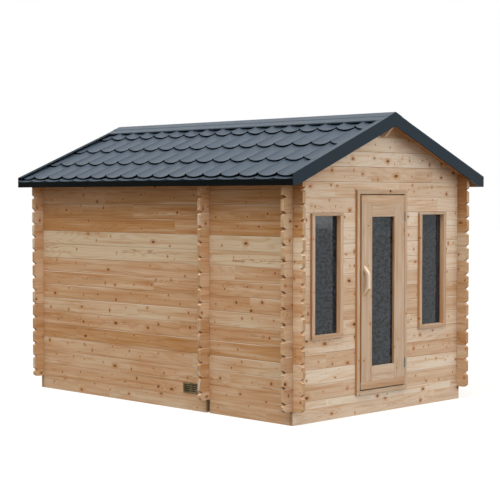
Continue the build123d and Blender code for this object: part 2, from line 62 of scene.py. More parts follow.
# Roof tiles
WAVE_COUNT = 17
CREST_HEIGHT = 0.024
CREST_HALF_WIDTH = 0.016
SHOULDER_HEIGHT = 0.014
TILE_ROW_PITCH = 0.380
TILE_SETBACK = 0.040
TILE_STEP = 0.017
TILE_SEAT = 0.0033
TILE_METAL = 0.0006
TILE_SMOOTH_ANGLE = 35.0
ROW_OVERLAP = 0.02
PANEL_WAVES = 4
PANEL_LAP = 0.016
LAP_LIFT = 0.0008
CREST_CUT_BACK = 0.024
CUT_BACK_LENGTH = 0.06
APRON_WAVE_SHARE = 0.45

# Boards of the roof and the floors
ROOF_BOARD_COUNT = 33
ROOF_BOARD = 0.019
ROOF_BOARD_GAP = 0.0006
FLOOR_BOARD = 0.095
FLOOR_BOARD_GAP = 0.0008
THINNEST_STRIP = 0.01

# Where the counting of boards starts, outside the cabin
GRID_START = -5.0

# Camera, fitted to the log courses, corners and roof of the photograph
CAMERA_PLACE = (-10.207, -10.240, 2.012)
CAMERA_TILT = 87.87
CAMERA_TURN = -45.146
CAMERA_LENS = 101.0
SENSOR = 36.0
CAMERA_REACH = 200.0

# Lamps: name, strength, spread in degrees, and the direction of the light
LAMPS = (
    ("key", 1.50, 60.0, (-0.36, 0.91, -0.17)),
    ("fill", 1.10, 70.0, (0.35, 0.92, -0.15)),
    ("side", 2.65, 40.0, (0.43, 0.10, -0.88)),
)

deck_low, deck_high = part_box("roof_boards_right")
roof_tip = deck_high[X]
roof_ridge = deck_high[Z]
roof_board_pitch = 2 * roof_tip / ROOF_BOARD_COUNT
sheet_low, sheet_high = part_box("tile_sheet_right")
sheet_front, sheet_rear = sheet_low[Y], sheet_high[Y]
wave_pitch = (sheet_rear - sheet_front) / WAVE_COUNT
door_posts_low, door_posts_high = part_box("door_frame_posts")
door_middle = (door_posts_low[X] + door_posts_high[X]) / 2
left_wall_face = -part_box("left_wall")[0][X]
vent_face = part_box("low_air_vent")[0][X]


class Shader:
    """A material's node tree, with short calls for the nodes used here. The functions below call it s."""

    def __init__(self, name):
        self.material = bpy.data.materials.new(name)
        self.material.use_nodes = True
        self.tree = self.material.node_tree
        self.tree.nodes.clear()
        self.output = self.new("OutputMaterial")
        self.surface = self.new("BsdfPrincipled")
        self.link(self.surface.outputs[0], self.output.inputs[0])

    def new(self, kind):
        """A new node."""
        return self.tree.nodes.new("ShaderNode" + kind)

    def link(self, output, socket):
        """Links an output to a socket."""
        self.tree.links.new(output, socket)

    def put(self, socket, value):
        """Links a socket, or sets it if the value is plain."""
        if isinstance(value, bpy.types.NodeSocket):
            self.link(value, socket)
        elif value is not None:
            socket.default_value = value

    def set(self, **values):
        """Sets the surface shader's sockets by name, with _ for spaces."""
        for name, value in values.items():
            self.put(self.surface.inputs[name.replace("_", " ")], value)

    def math(self, operation, a, b=None):
        """One operation on one or two numbers."""
        node = self.new("Math")
        node.operation = operation
        for socket, value in zip(node.inputs, (a, b)):
            self.put(socket, value)
        return node.outputs[0]

    def add(self, a, b):
        """The sum of two numbers."""
        return self.math("ADD", a, b)

    def minus(self, a, b):
        """The first number less the second."""
        return self.math("SUBTRACT", a, b)

    def times(self, a, b):
        """The product of two numbers."""
        return self.math("MULTIPLY", a, b)

    def over(self, a, b):
        """The first number divided by the second."""
        return self.math("DIVIDE", a, b)

    def larger(self, a, b):
        """The larger of two numbers."""
        return self.math("MAXIMUM", a, b)

    def unsigned(self, value):
        """A number without its sign."""
        return self.math("ABSOLUTE", value)

    def split(self, vector):
        """The three numbers of a vector."""
        node = self.new("SeparateXYZ")
        self.put(node.inputs[0], vector)
        return node.outputs[0], node.outputs[1], node.outputs[2]

    def join(self, x, y, z):
        """A vector from three numbers."""
        node = self.new("CombineXYZ")
        for socket, value in zip(node.inputs, (x, y, z)):
            self.put(socket, value)
        return node.outputs[0]

    def noise(self, vector, scale, detail=2.0, roughness=0.5):
        """Smooth noise from 0 to 1."""
        node = self.new("TexNoise")
        self.put(node.inputs["Vector"], vector)
        self.put(node.inputs["Scale"], scale)
        self.put(node.inputs["Detail"], detail)
        self.put(node.inputs["Roughness"], roughness)
        return node.outputs[0]

    def stretched_noise(self, point, scales, detail=2.0, roughness=0.5):
        """Smooth noise with a scale of its own along each axis."""
        place = [self.times(part, scale) for part, scale in zip(point, scales)]
        return self.noise(self.join(*place), 1.0, detail, roughness)

    def chance(self, x, y, z):
        """Three random numbers from 0 to 1, drawn anew for other values of x, y and z."""
        node = self.new("TexWhiteNoise")
        node.noise_dimensions = "3D"
        self.put(node.inputs["Vector"], self.join(x, y, z))
        return self.split(node.outputs["Color"])

    def ramp(self, factor, stops, interpolation="LINEAR"):
        """A colour from a scale of colours."""
        node = self.new("ValToRGB")
        node.color_ramp.interpolation = interpolation
        elements = node.color_ramp.elements
        while len(elements) < len(stops):
            elements.new(0.5)
        for element, (place, colour) in zip(elements, stops):
            element.position = place
            element.color = (*colour, 1.0)
        self.put(node.inputs[0], factor)
        return node.outputs[0]

    def steps(self, factor, values):
        """One of several numbers, each held over an equal share of the factor."""
        stops = [(number / len(values), (value, value, value)) for number, value in enumerate(values)]
        return self.ramp(factor, stops, "CONSTANT")

    def mix(self, factor, a, b, blend="MIX"):
        """Two colours mixed."""
        node = self.new("Mix")
        node.data_type = "RGBA"
        node.blend_type = blend
        self.put(node.inputs["Factor"], factor)
        for socket, value in ((node.inputs[6], a), (node.inputs[7], b)):
            self.put(socket, (*value, 1.0) if isinstance(value, tuple) else value)
        return node.outputs[2]

    def tint(self, factor, colour, by):
        """A colour multiplied by another, as far as the factor says."""
        return self.mix(factor, colour, by, "MULTIPLY")

    def span(self, value, low, high, to_low=0.0, to_high=1.0, interpolation="SMOOTHSTEP"):
        """A number moved from one range to another, held at its ends."""
        node = self.new("MapRange")
        node.interpolation_type = interpolation
        for socket, number in zip(node.inputs, (value, low, high, to_low, to_high)):
            self.put(socket, number)
        return node.outputs[0]

    def fade(self, value, low, high, strength=1.0):
        """A strength that falls to 0 from low to high."""
        return self.span(value, low, high, strength, 0.0)

    def between(self, draw, low, high):
        """A random number from 0 to 1 moved to another range."""
        return self.span(draw, 0.0, 1.0, low, high, "LINEAR")

    def place(self):
        """The point on the object, and its normal, both at rest."""
        node = self.new("TexCoord")
        return node.outputs["Object"], node.outputs["Normal"]

    def openness(self, reach):
        """How open the surface is, from 0 in a crevice to 1."""
        node = self.new("AmbientOcclusion")
        node.samples = 6
        node.inputs["Distance"].default_value = reach
        return node.outputs["AO"]

    def bump(self, height, distance, strength=1.0):
        """Small relief."""
        node = self.new("Bump")
        self.put(node.inputs["Height"], height)
        node.inputs["Distance"].default_value = distance
        node.inputs["Strength"].default_value = strength
        self.put(self.surface.inputs["Normal"], node.outputs[0])


# Colours of the wood, each set from pale to dark, and the places of the three on the scale
LOG_COLOURS = ((0.63, 0.54, 0.44), (0.585, 0.47, 0.365), (0.505, 0.36, 0.245))
SIDE_COLOURS = ((0.55, 0.435, 0.305), (0.50, 0.32, 0.19), (0.41, 0.218, 0.088))
CROSS_COLOURS = ((0.66, 0.47, 0.31), (0.62, 0.40, 0.235), (0.53, 0.315, 0.16))
BASE_COLOURS = ((0.64, 0.51, 0.40), (0.60, 0.47, 0.36), (0.50, 0.37, 0.26))
DOOR_COLOURS = ((0.475, 0.365, 0.275), (0.44, 0.325, 0.23), (0.385, 0.27, 0.18))
INNER_RAIL_COLOURS = ((0.51, 0.395, 0.30), (0.475, 0.355, 0.255), (0.42, 0.30, 0.205))
OUTER_RAIL_COLOURS = ((0.485, 0.35, 0.24), (0.445, 0.30, 0.195), (0.395, 0.25, 0.15))
HANDLE_COLOURS = ((0.76, 0.67, 0.56), (0.71, 0.61, 0.49), (0.62, 0.51, 0.38))
SOFFIT_COLOURS = ((0.62, 0.41, 0.22), (0.58, 0.36, 0.175), (0.52, 0.30, 0.13))
COLOUR_PLACES = (0.22, 0.55, 1.0)

# Tone of each side wall log from the bottom up, from 0 for pale to 1 for dark
SIDE_TONES = (0.56, 0.50, 0.46, 0.92, 0.70, 0.40, 0.68, 0.62, 0.56, 0.04, 0.10, 0.95, 0.90, 0.74, 0.85, 0.9)

# Grain and marks in the wood
RING_TINT = (0.84, 0.66, 0.46)
FINE_TINT = (0.82, 0.70, 0.56)
STREAK_TINT = (0.80, 0.62, 0.44)
STREAK_PALE = (0.62, 0.50, 0.37)
PITCH_FLECK = (0.33, 0.17, 0.075)
KNOT_DARK = (0.075, 0.036, 0.016)
KNOT_RED = (0.20, 0.085, 0.03)
KNOT_RING = (0.46, 0.23, 0.10)
RING_DENSITY = 95.0
RING_PUSH = 0.11

# End grain
END_GRAIN = ((0.34, 0.205, 0.105), (0.43, 0.28, 0.16))
LIT_END_GRAIN = ((0.42, 0.26, 0.14), (0.52, 0.35, 0.21))
PALE_ENDS = ((0.66, 0.50, 0.35), (0.74, 0.59, 0.44))
END_RING_TINT = (0.75, 0.58, 0.42)
END_RING_DENSITY = 130.0
SEALER = (0.52, 0.46, 0.39)

# Painted light and shade on the logs past the wall, under the eave, on side faces, in reveals and in
# crevices; tints of the joints; and a painted highlight on top edges
FRONT_END_PAINTED_SHADE = (0.78, 0.68, 0.575)
SIDE_END_PAINTED_LIGHT = (1.16, 1.20, 1.26)
END_PAINTED_LIGHT_BLEND = 0.004
EAVE_SHADE = (0.74, 0.64, 0.50)
EAVE_SHADE_HEIGHTS = (1.55, 2.15)
SIDE_PAINTED_SHADE = (1.0, 0.70, 0.42)
REVEAL_PAINTED_LIGHT = (1.60, 1.30, 1.05)
CREVICE_SHADE = (0.52, 0.27, 0.095)
CREVICE_SHADE_OPENNESS = (0.15, 0.52)
LOG_CREVICE_SHADE_REACH = 0.035
JOINERY_CREVICE_SHADE_REACH = 0.014
JOINT_SHADE = (0.20, 0.11, 0.05)
JOINT_LINE = (0.0012, 0.0030)
TOP_EDGE_HIGHLIGHT = (0.68, 0.56, 0.44)
TOP_EDGE_HIGHLIGHT_BAND = (0.02, 0.085)

# How strongly each mark, tint, painted highlight or painted shade shows
RING_STRENGTH = 0.34
FINE_STRENGTH = 0.30
STREAK_STRENGTH = 0.60
STREAK_PALE_STRENGTH = 0.30
KNOT_RING_STRENGTH = 0.75
KNOT_STRENGTH = 0.95
SMALL_KNOT_STRENGTH = 0.90
END_RING_STRENGTH = 0.22
TOP_EDGE_HIGHLIGHT_STRENGTH = 0.75
CREVICE_SHADE_STRENGTH = 0.9
UNDERSIDE_SHADE_STRENGTH = 0.5

# Noise scales along the grain, across it and into the wood, in waves to the metre
SLOW_SCALES = (0.6, 7.0, 7.0)
FINE_SCALES = (3.0, 170.0, 170.0)
STREAK_SCALES = (0.9, 22.0, 22.0)
CLOUD_SCALES = (1.6, 5.0, 5.0)
RAGGED_SCALES = (60.0, 60.0, 60.0)
FLECK_SCALES = (11.0, 130.0, 130.0)
FLECK_PATCH_SCALES = (1.6, 10.0, 10.0)
END_RING_SCALES = (7.0, 9.0, 9.0)
TOP_EDGE_HIGHLIGHT_SCALES = (0.7, 3.0, 3.0)
JOINT_DEPTH_SCALES = (0.8, 0.0, 0.0)

# How far apart the boards lie in the pattern, along the grain and across it
SHIFT_ALONG = 37.0
SHIFT_ACROSS = 9.0

# Parts of the normal over which a face turns into a side, an end, an underside or an edge
SIDE_FACING = (0.55, 0.80)
END_FACING = (0.55, 0.66)
UNDERSIDE_FACING = (-0.30, -0.55)
EDGE_FACING = (0.985, 0.95)

# Knots: length of the cells that hold one each, share of cells with one, and radii
LARGE_KNOTS = {"cell": 0.24, "share": 0.78, "smallest": 0.0065, "largest": 0.0170}
SMALL_KNOTS = {"cell": 0.095, "share": 0.30, "smallest": 0.0020, "largest": 0.0065}

# Ranges for a board's share of knots, and for a knot's place in its cell, its height and its stretch
SHARE_RANGE = (0.35, 1.25)
PLACE_RANGE = (0.2, 0.8)
HEIGHT_RANGE = (0.14, 0.86)
STRETCH_RANGE = (0.5, 1.7)

# Where a knot's heart, its halo and its push on the rings fade out, in radii
HEART_EDGE = (0.62, 1.10)
HALO_EDGE = (0.9, 3.1)
PUSH_EDGE = (0.6, 5.0)


def knot_layer(s, along, height, course, board, seed, plenty, ragged, cell, share, smallest, largest):
    """At most one knot in each cell of a board: its heart, its halo, its push on the rings and its shade."""
    start, habit, _ = s.chance(board, seed, 1.5)
    place = s.add(s.over(along, cell), s.times(start, 5.0))
    number = s.math("FLOOR", place)
    middle, level, size = s.chance(number, board, seed)
    draw, shade, roundness = s.chance(number, board, seed + 7.5)
    least, most = [share * plenty * part for part in SHARE_RANGE]
    present = s.math("LESS_THAN", draw, s.between(habit, least, most))
    sideways = s.times(s.minus(s.math("FRACT", place), s.between(middle, *PLACE_RANGE)), cell)
    upwards = s.times(s.minus(height, s.between(level, *HEIGHT_RANGE)), course)
    stretched = s.times(sideways, s.between(roundness, *STRETCH_RANGE))
    squares = s.add(s.math("POWER", stretched, 2.0), s.math("POWER", upwards, 2.0))
    distance = s.math("POWER", squares, 0.5)
    radius = s.between(s.times(size, size), smallest, largest)
    ratio = s.add(s.over(distance, radius), ragged)
    edges = (HEART_EDGE, HALO_EDGE, PUSH_EDGE)
    heart, halo, push = [s.times(s.fade(ratio, *edge), present) for edge in edges]
    return heart, halo, push, shade


def pitch_flecks(s, own, height, shift, habit, most):
    """Short dark dashes in a band along some boards."""
    marks = s.span(s.stretched_noise(own, FLECK_SCALES, 1.0, 0.5), 0.54, 0.62)
    patches = s.span(s.stretched_noise(own, FLECK_PATCH_SCALES, 1.0, 0.5), 0.42, 0.54)
    from_band = s.unsigned(s.minus(height, s.between(shift, 0.3, 0.7)))
    in_band = s.fade(from_band, 0.06, 0.20)
    return s.times(s.times(s.times(marks, patches), in_band), s.span(habit, 0.50, 0.62, 0.05, most))


def painted_face_shading(s, base, across, facing, painted_side_shading, painted_reveal_light):
    """Painted shade on faces turned to the side, with painted light instead in the reveals of door and
    windows.
    """
    sideways = s.span(s.unsigned(facing), *SIDE_FACING)
    if painted_reveal_light:
        # Openings lie a window spacing apart, and a face turned to the middle of its own is a reveal
        in_spacings = s.over(s.minus(across, door_middle), WINDOW_SPACING)
        from_middle = s.minus(s.math("FRACT", s.add(in_spacings, 0.5)), 0.5)
        outward = s.math("GREATER_THAN", s.times(from_middle, facing), 0.0)
        painted_side_shading = s.mix(outward, painted_reveal_light, painted_side_shading)
    return s.tint(sideways, base, painted_side_shading)


def edge_lines(s, base, normal, strength):
    """Dark lines on rounded edges, so that the joints of the leaf show."""
    x, y, z = [s.unsigned(part) for part in s.split(normal)]
    squareness = s.larger(s.larger(x, y), z)
    return s.mix(s.span(squareness, *EDGE_FACING, 0.0, strength), base, JOINT_SHADE)


def end_face(s, point, parts, own, end_grain, sealer):
    """End grain with rings and patches of sealer."""
    ends = s.mix(s.span(s.noise(point, 26.0, 3.0, 0.6), 0.35, 0.62), *end_grain)
    rings = s.math("SINE", s.times(s.stretched_noise(own, END_RING_SCALES, 0.0), END_RING_DENSITY))
    ends = s.tint(s.span(rings, 0.0, 1.0, 0.0, END_RING_STRENGTH), ends, END_RING_TINT)
    patches = s.stretched_noise(parts, (9.0, 9.0, 3.0), 4.0, 0.65)
    return s.mix(s.span(patches, 0.52, 0.62, 0.0, sealer), ends, SEALER)


def joint_lines(s, base, own, height, course, side_grain, strength):
    """A fine dark line at each joint of the courses, and a painted highlight on the top edge in places."""
    to_top = s.minus(1.0, height)
    # Painted highlight along the top edges of some courses
    highlight_places = s.span(s.stretched_noise(own, TOP_EDGE_HIGHLIGHT_SCALES, 1.0), 0.45, 0.60, 0.0, TOP_EDGE_HIGHLIGHT_STRENGTH)
    painted_highlight = s.times(s.fade(to_top, *TOP_EDGE_HIGHLIGHT_BAND), highlight_places)
    base = s.mix(s.times(painted_highlight, side_grain), base, TOP_EDGE_HIGHLIGHT)
    from_joint = s.times(s.minus(0.5, s.unsigned(s.minus(height, 0.5))), course)
    line = s.times(s.fade(from_joint, *JOINT_LINE), side_grain)
    depth = s.span(s.stretched_noise(own, JOINT_DEPTH_SCALES, 1.0), 0.35, 0.65, strength * 0.35, strength)
    return s.mix(s.times(line, depth), base, JOINT_SHADE)


def wood(name, grain, rise, course, first_joint=GRID_START, segment=3.0, seed=0.0, colours=LOG_COLOURS,
         spread=1.0, tones=None, figure=1.0, knots=1.0, flecks=0.4, end_grain=END_GRAIN, sealer=0.6,
         joints=0.0, crevice_shade_reach=LOG_CREVICE_SHADE_REACH, wall_end=None, painted_side_shading=None, painted_reveal_light=None,
         edge_line=0.0):
    """Planed softwood in logs or boards.

    grain is the axis along the boards, and rise the axis from board to board. course is the height of a
    board, first_joint the place of a joint between two, and segment the length of a piece. spread says
    how far the tones of the boards lie apart, unless tones gives each its own. figure, knots, flecks,
    sealer, joints and edge_line say how much of each shows. wall_end is the place past which the logs
    stand out of the wall, and the painted light there: painted shade on the front wall's logs, painted
    light on the side walls' logs, and painted shade under the eave. The side and reveal arguments give
    painted shade on faces turned to the side and painted light in the reveals.
    """
    s = Shader(name)
    point, normal = s.place()
    parts = s.split(point)
    along, up, deep = parts[grain], parts[rise], parts[X + Y + Z - grain - rise]

    # The board, the height on it from 0 to 1, and the random numbers of the board and of the piece
    courses_up = s.over(s.minus(up, first_joint), course)
    board = s.math("FLOOR", courses_up)
    height = s.math("FRACT", courses_up)
    start, tone, habit = s.chance(board, seed, 3.5)
    piece = s.math("FLOOR", s.add(s.over(along, segment), s.times(start, 7.0)))
    shift, piece_tone, drift = s.chance(board, piece, seed + 0.5)
    if tones:
        tone = s.steps(s.over(s.add(board, 0.5), float(len(tones))), tones)

    # Each board has its own place in the pattern, so that nothing runs on over a joint
    far_along = s.add(along, s.times(drift, SHIFT_ALONG))
    own = (far_along, s.add(up, s.times(shift, SHIFT_ACROSS)), deep)

    # Large knots, and more small ones
    ragged = s.span(s.stretched_noise(own, RAGGED_SCALES, 2.0, 0.6), 0.25, 0.75, -0.45, 0.45, "LINEAR")
    heart, halo, push, shade = knot_layer(
        s, far_along, height, course, board, seed + 20.0, knots, ragged, **LARGE_KNOTS)
    small_heart, small_halo, _, small_shade = knot_layer(
        s, far_along, height, course, board, seed + 30.0, knots, ragged, **SMALL_KNOTS)

    # Growth rings cut lengthwise: contours of a slow noise, pushed aside by the knots
    slow = s.stretched_noise(own, SLOW_SCALES, 1.0, 0.4)
    ringed = s.add(s.add(slow, s.times(push, RING_PUSH)), shift)
    rings = s.math("SINE", s.times(ringed, RING_DENSITY))
    fine = s.stretched_noise(own, FINE_SCALES, 3.0, 0.6)
    streak = s.stretched_noise(own, STREAK_SCALES, 2.0, 0.55)
    cloud = s.stretched_noise(own, CLOUD_SCALES, 2.0, 0.5)

    # Colour of the board, its rings, streaks, flecks and knots
    share = s.add(s.times(s.minus(tone, 0.5), spread), s.times(s.minus(piece_tone, 0.5), spread * 0.13))
    share = s.add(s.add(share, 0.5), s.span(cloud, 0.3, 0.7, -0.14, 0.14, "LINEAR"))
    base = s.ramp(share, ((0.0, colours[0]), *zip(COLOUR_PLACES, colours)))
    base = s.tint(s.span(rings, 0.1, 1.0, 0.0, RING_STRENGTH * figure), base, RING_TINT)
    base = s.tint(s.span(fine, 0.35, 0.75, 0.0, FINE_STRENGTH), base, FINE_TINT)
    base = s.tint(s.span(streak, 0.50, 0.70, 0.0, STREAK_STRENGTH * figure), base, STREAK_TINT)
    base = s.mix(s.span(streak, 0.46, 0.28, 0.0, STREAK_PALE_STRENGTH * figure), base, STREAK_PALE)
    base = s.mix(pitch_flecks(s, own, height, shift, habit, flecks), base, PITCH_FLECK)
    base = s.mix(s.times(s.larger(halo, small_halo), KNOT_RING_STRENGTH), base, KNOT_RING)
    base = s.mix(s.times(heart, KNOT_STRENGTH), base, s.mix(shade, KNOT_DARK, KNOT_RED))
    base = s.mix(s.times(small_heart, SMALL_KNOT_STRENGTH), base, s.mix(small_shade, KNOT_DARK, KNOT_RED))

    # Painted light and shade on faces past the wall and on the side, then edges, end grain and joints
    if wall_end:
        # Past the wall: painted shade on the front wall's logs, painted light on the side walls' logs, and
        # painted shade under the eave
        wall_face, end_painted_light = wall_end
        past_wall = s.span(s.unsigned(along), wall_face - END_PAINTED_LIGHT_BLEND, wall_face)
        base = s.tint(past_wall, base, end_painted_light)
        base = s.tint(s.times(past_wall, s.span(up, *EAVE_SHADE_HEIGHTS)), base, EAVE_SHADE)
    # Painted shade on faces turned to the side, and painted light in the reveals
    if painted_side_shading:
        base = painted_face_shading(s, base, up, s.split(normal)[rise], painted_side_shading, painted_reveal_light)
    if edge_line:
        base = edge_lines(s, base, normal, edge_line)
    end = s.span(s.unsigned(s.split(normal)[grain]), *END_FACING)
    base = s.mix(end, base, end_face(s, point, parts, own, end_grain, sealer))
    if joints:
        base = joint_lines(s, base, own, height, course, s.minus(1.0, end), joints)

    # Painted shade: warm and dark in crevices found by ambient occlusion, and on faces turned downward
    crevice_shade = s.fade(s.openness(crevice_shade_reach), *CREVICE_SHADE_OPENNESS, CREVICE_SHADE_STRENGTH)
    underside_shade = s.span(s.split(normal)[Z], *UNDERSIDE_FACING, 0.0, UNDERSIDE_SHADE_STRENGTH)
    base = s.tint(s.larger(crevice_shade, underside_shade), base, CREVICE_SHADE)
    s.set(Base_Color=base, Roughness=s.span(fine, 0.2, 0.8, 0.60, 0.76), Specular_IOR_Level=0.16)
    s.bump(s.minus(s.add(s.times(rings, 0.25), fine), s.times(heart, 0.8)), 0.0006, 0.5)
    return s.material


# Painted metal, steel and glass
ROOF_COLOUR = (0.054, 0.072, 0.094)
TRIM_COLOUR = (0.0095, 0.0170, 0.0250)
# The fascia is painted near black as painted shade, darker than the trim
FASCIA_SHADED_COLOUR = (0.0018, 0.0024, 0.0022)
UNDERCUT_SHADE = (0.001, 0.0015, 0.002)
UNDERCUT_SHADE_REACH = 0.028
PAINT_SHEEN_TINT = (0.72, 0.88, 1.0, 1.0)
PAINT_SHADES = (0.88, 1.12)
DUST_SHADE = 1.5
HINGE_STEEL = ((0.13, 0.155, 0.17), (0.22, 0.25, 0.27))
VENT_OLIVE = ((0.060, 0.046, 0.020), (0.135, 0.105, 0.052))
VENT_WORN = (0.22, 0.17, 0.095)
VENT_SLOT_SHADE = (0.006, 0.005, 0.003)
VENT_SLOT_DEPTHS = (0.0010, 0.0030)
GLASS_TINT_AND_REFLECTION = ((0.002, 0.004, 0.006), (0.038, 0.053, 0.070))


def painted_metal(name, colour, roughness, shine, dust=0.10, lit_top=None, painted_under_shade=False):
    """Coil-coated sheet with a faint mottle and fine dust, and where asked a painted light on its top and
    painted shade, near black, on faces turned down and in crevices.
    """
    s = Shader(name)
    point, normal = s.place()
    upward = s.split(normal)[Z]
    cloud = s.noise(point, 2.4, 4.0, 0.6)
    shades = (*PAINT_SHADES, DUST_SHADE)
    darker, lighter, dusty = [tuple(part * shade for part in colour) for shade in shades]
    base = s.ramp(cloud, ((0.3, darker), (0.7, lighter)))
    base = s.mix(s.span(s.noise(point, 7.0, 5.0, 0.7), 0.5, 0.75, 0.0, dust), base, dusty)
    if lit_top:
        base = s.mix(s.span(upward, 0.3, 0.6), base, lit_top)
    # Painted shade: near black on faces turned down, under the noses of the tiles, and in crevices
    if painted_under_shade:
        base = s.mix(s.span(upward, 0.62, 0.30, 0.0, 0.93), base, UNDERCUT_SHADE)
        base = s.mix(s.fade(s.openness(UNDERCUT_SHADE_REACH), 0.25, 0.90, 0.92), base, UNDERCUT_SHADE)
    s.set(Base_Color=base, Roughness=s.span(cloud, 0.3, 0.7, roughness - 0.05, roughness + 0.07),
          Specular_IOR_Level=shine, Specular_Tint=PAINT_SHEEN_TINT)
    s.bump(s.noise(point, 900.0, 1.0, 0.5), 0.00012, 0.35)
    return s.material


def steel(name):
    """Brushed hinge steel."""
    s = Shader(name)
    point, _ = s.place()
    brush = s.stretched_noise(s.split(point), (1500.0, 1500.0, 30.0), 2.0, 0.6)
    s.set(Base_Color=s.ramp(brush, tuple(zip((0.3, 0.7), HINGE_STEEL))), Metallic=1.0,
          Roughness=s.span(brush, 0.3, 0.7, 0.30, 0.44))
    s.bump(brush, 0.00008, 0.4)
    return s.material


def vent_finish(name):
    """Dull olive paint, with painted shade in the slots."""
    s = Shader(name)
    point, _ = s.place()
    shallow, deep = [vent_face + depth for depth in VENT_SLOT_DEPTHS]
    slot_shade = s.span(s.split(point)[X], shallow, deep)
    cloud = s.noise(point, 34.0, 4.0, 0.65)
    base = s.ramp(cloud, tuple(zip((0.3, 0.7), VENT_OLIVE)))
    base = s.mix(s.span(s.noise(point, 15.0, 2.0, 0.5), 0.46, 0.60, 0.0, 0.8), base, VENT_WORN)
    s.set(Base_Color=s.mix(s.times(slot_shade, 0.9), base, VENT_SLOT_SHADE),
          Roughness=s.span(cloud, 0.3, 0.7, 0.5, 0.66), Specular_IOR_Level=0.1)
    s.bump(cloud, 0.0003, 0.4)
    return s.material


def tinted_glass(name):
    """Dark tinted glass, slightly uneven, with a painted reflection mottling its colour."""
    s = Shader(name)
    point, _ = s.place()
    parts = s.split(point)
    # The noise that mottles the glass's colour is a painted reflection
    wave = s.stretched_noise(parts, (26.0, 26.0, 42.0), 3.0, 0.6)
    smear = s.stretched_noise(parts, (6.0, 6.0, 14.0), 4.0, 0.6)
    s.set(Base_Color=s.ramp(wave, tuple(zip((0.40, 0.60), GLASS_TINT_AND_REFLECTION))),
          Roughness=s.span(smear, 0.3, 0.7, 0.02, 0.09), IOR=1.40, Transmission_Weight=0.35)
    s.bump(s.noise(point, 5.0, 1.0, 0.5), 0.0006, 0.15)
    return s.material


# Woods. The courses of the cross walls lie half a log above those of the side walls
log_side = wood("side_wall_logs", Y, Z, LOG_HEIGHT, BASE_HEIGHT, segment=3.1, seed=11.0,
                colours=SIDE_COLOURS, tones=SIDE_TONES, figure=1.2, knots=1.6, flecks=1.0, sealer=0.2,
                joints=0.45, wall_end=(HALF_LENGTH, SIDE_END_PAINTED_LIGHT))
log_front = wood("front_wall_logs", X, Z, LOG_HEIGHT, BASE_HEIGHT + HALF_LOG, segment=0.93, seed=23.0,
                 spread=1.3, knots=1.6, end_grain=LIT_END_GRAIN, sealer=0.3, joints=0.8,
                 wall_end=(left_wall_face, FRONT_END_PAINTED_SHADE))
log_cross = wood("cross_wall_logs", X, Z, LOG_HEIGHT, BASE_HEIGHT + HALF_LOG, segment=1.9, seed=29.0,
                 colours=CROSS_COLOURS, sealer=0.9, joints=0.5)

base_boards = {"course": 0.2, "first_joint": -0.02, "segment": 2.2}
base_across = wood("base_boards_across", X, Z, **base_boards, seed=31.0, colours=BASE_COLOURS, spread=0.4)
base_along = wood("base_boards_along", Y, Z, **base_boards, seed=37.0, colours=SIDE_COLOURS, spread=0.6)

joinery = {"spread": 0.5, "crevice_shade_reach": JOINERY_CREVICE_SHADE_REACH}
rails = {"spread": 0.8, "crevice_shade_reach": JOINERY_CREVICE_SHADE_REACH, "knots": 1.3, "edge_line": 0.8}
upright_board = wood("upright_boards", Z, X, 0.19, seed=41.0, colours=DOOR_COLOURS, painted_side_shading=SIDE_PAINTED_SHADE,
                     painted_reveal_light=REVEAL_PAINTED_LIGHT, **joinery)
cross_board = wood("cross_boards", X, Z, 0.21, seed=43.0, colours=DOOR_COLOURS, knots=0.5, **joinery)
door_upright = wood("door_uprights", Z, X, 0.31, GRID_START - 0.012, seed=47.0, colours=DOOR_COLOURS,
                    knots=2.6, painted_side_shading=SIDE_PAINTED_SHADE, edge_line=0.8, **joinery)
inner_rail = wood("door_cross_pieces", X, Z, 0.24, seed=53.0, colours=INNER_RAIL_COLOURS, **rails)
outer_rail = wood("door_outer_rails", X, Z, 0.24, seed=57.0, colours=OUTER_RAIL_COLOURS, **rails)
handle_wood = wood("handle_wood", Z, X, 0.5, seed=71.0, colours=HANDLE_COLOURS, knots=0.3, spread=0.4,
                   end_grain=PALE_ENDS)

roof_board_wood = wood("roof_boards", Y, X, roof_board_pitch, -roof_tip, segment=2.4, seed=59.0,
                       colours=SOFFIT_COLOURS)
barge_wood = wood("barge_boards", X, Z, 0.5, seed=79.0, colours=SOFFIT_COLOURS, knots=0.5, **joinery)
floor_board_wood = wood("floor_boards", X, Y, FLOOR_BOARD, seed=61.0)
beam_wood = wood("beam_wood", Y, X, 1.0, segment=4.0, seed=67.0, end_grain=PALE_ENDS)

roof_paint = painted_metal("roof_tile_paint", ROOF_COLOUR, 0.38, 0.12, painted_under_shade=True)
cap_paint = painted_metal("ridge_cap_paint", ROOF_COLOUR, 0.38, 0.12)
trim_paint = painted_metal("trim_paint", TRIM_COLOUR, 0.45, 0.12, dust=0.05, lit_top=ROOF_COLOUR)
rear_trim_paint = painted_metal("rear_trim_paint", TRIM_COLOUR, 0.45, 0.04, dust=0.05)
shaded_fascia_paint = painted_metal("shaded_fascia_paint", FASCIA_SHADED_COLOUR, 0.55, 0.04, dust=0.02, lit_top=ROOF_COLOUR)
hinge_metal = steel("hinge_steel")
vent_paint = vent_finish("vent_paint")
pane_glass = tinted_glass("tinted_pane")

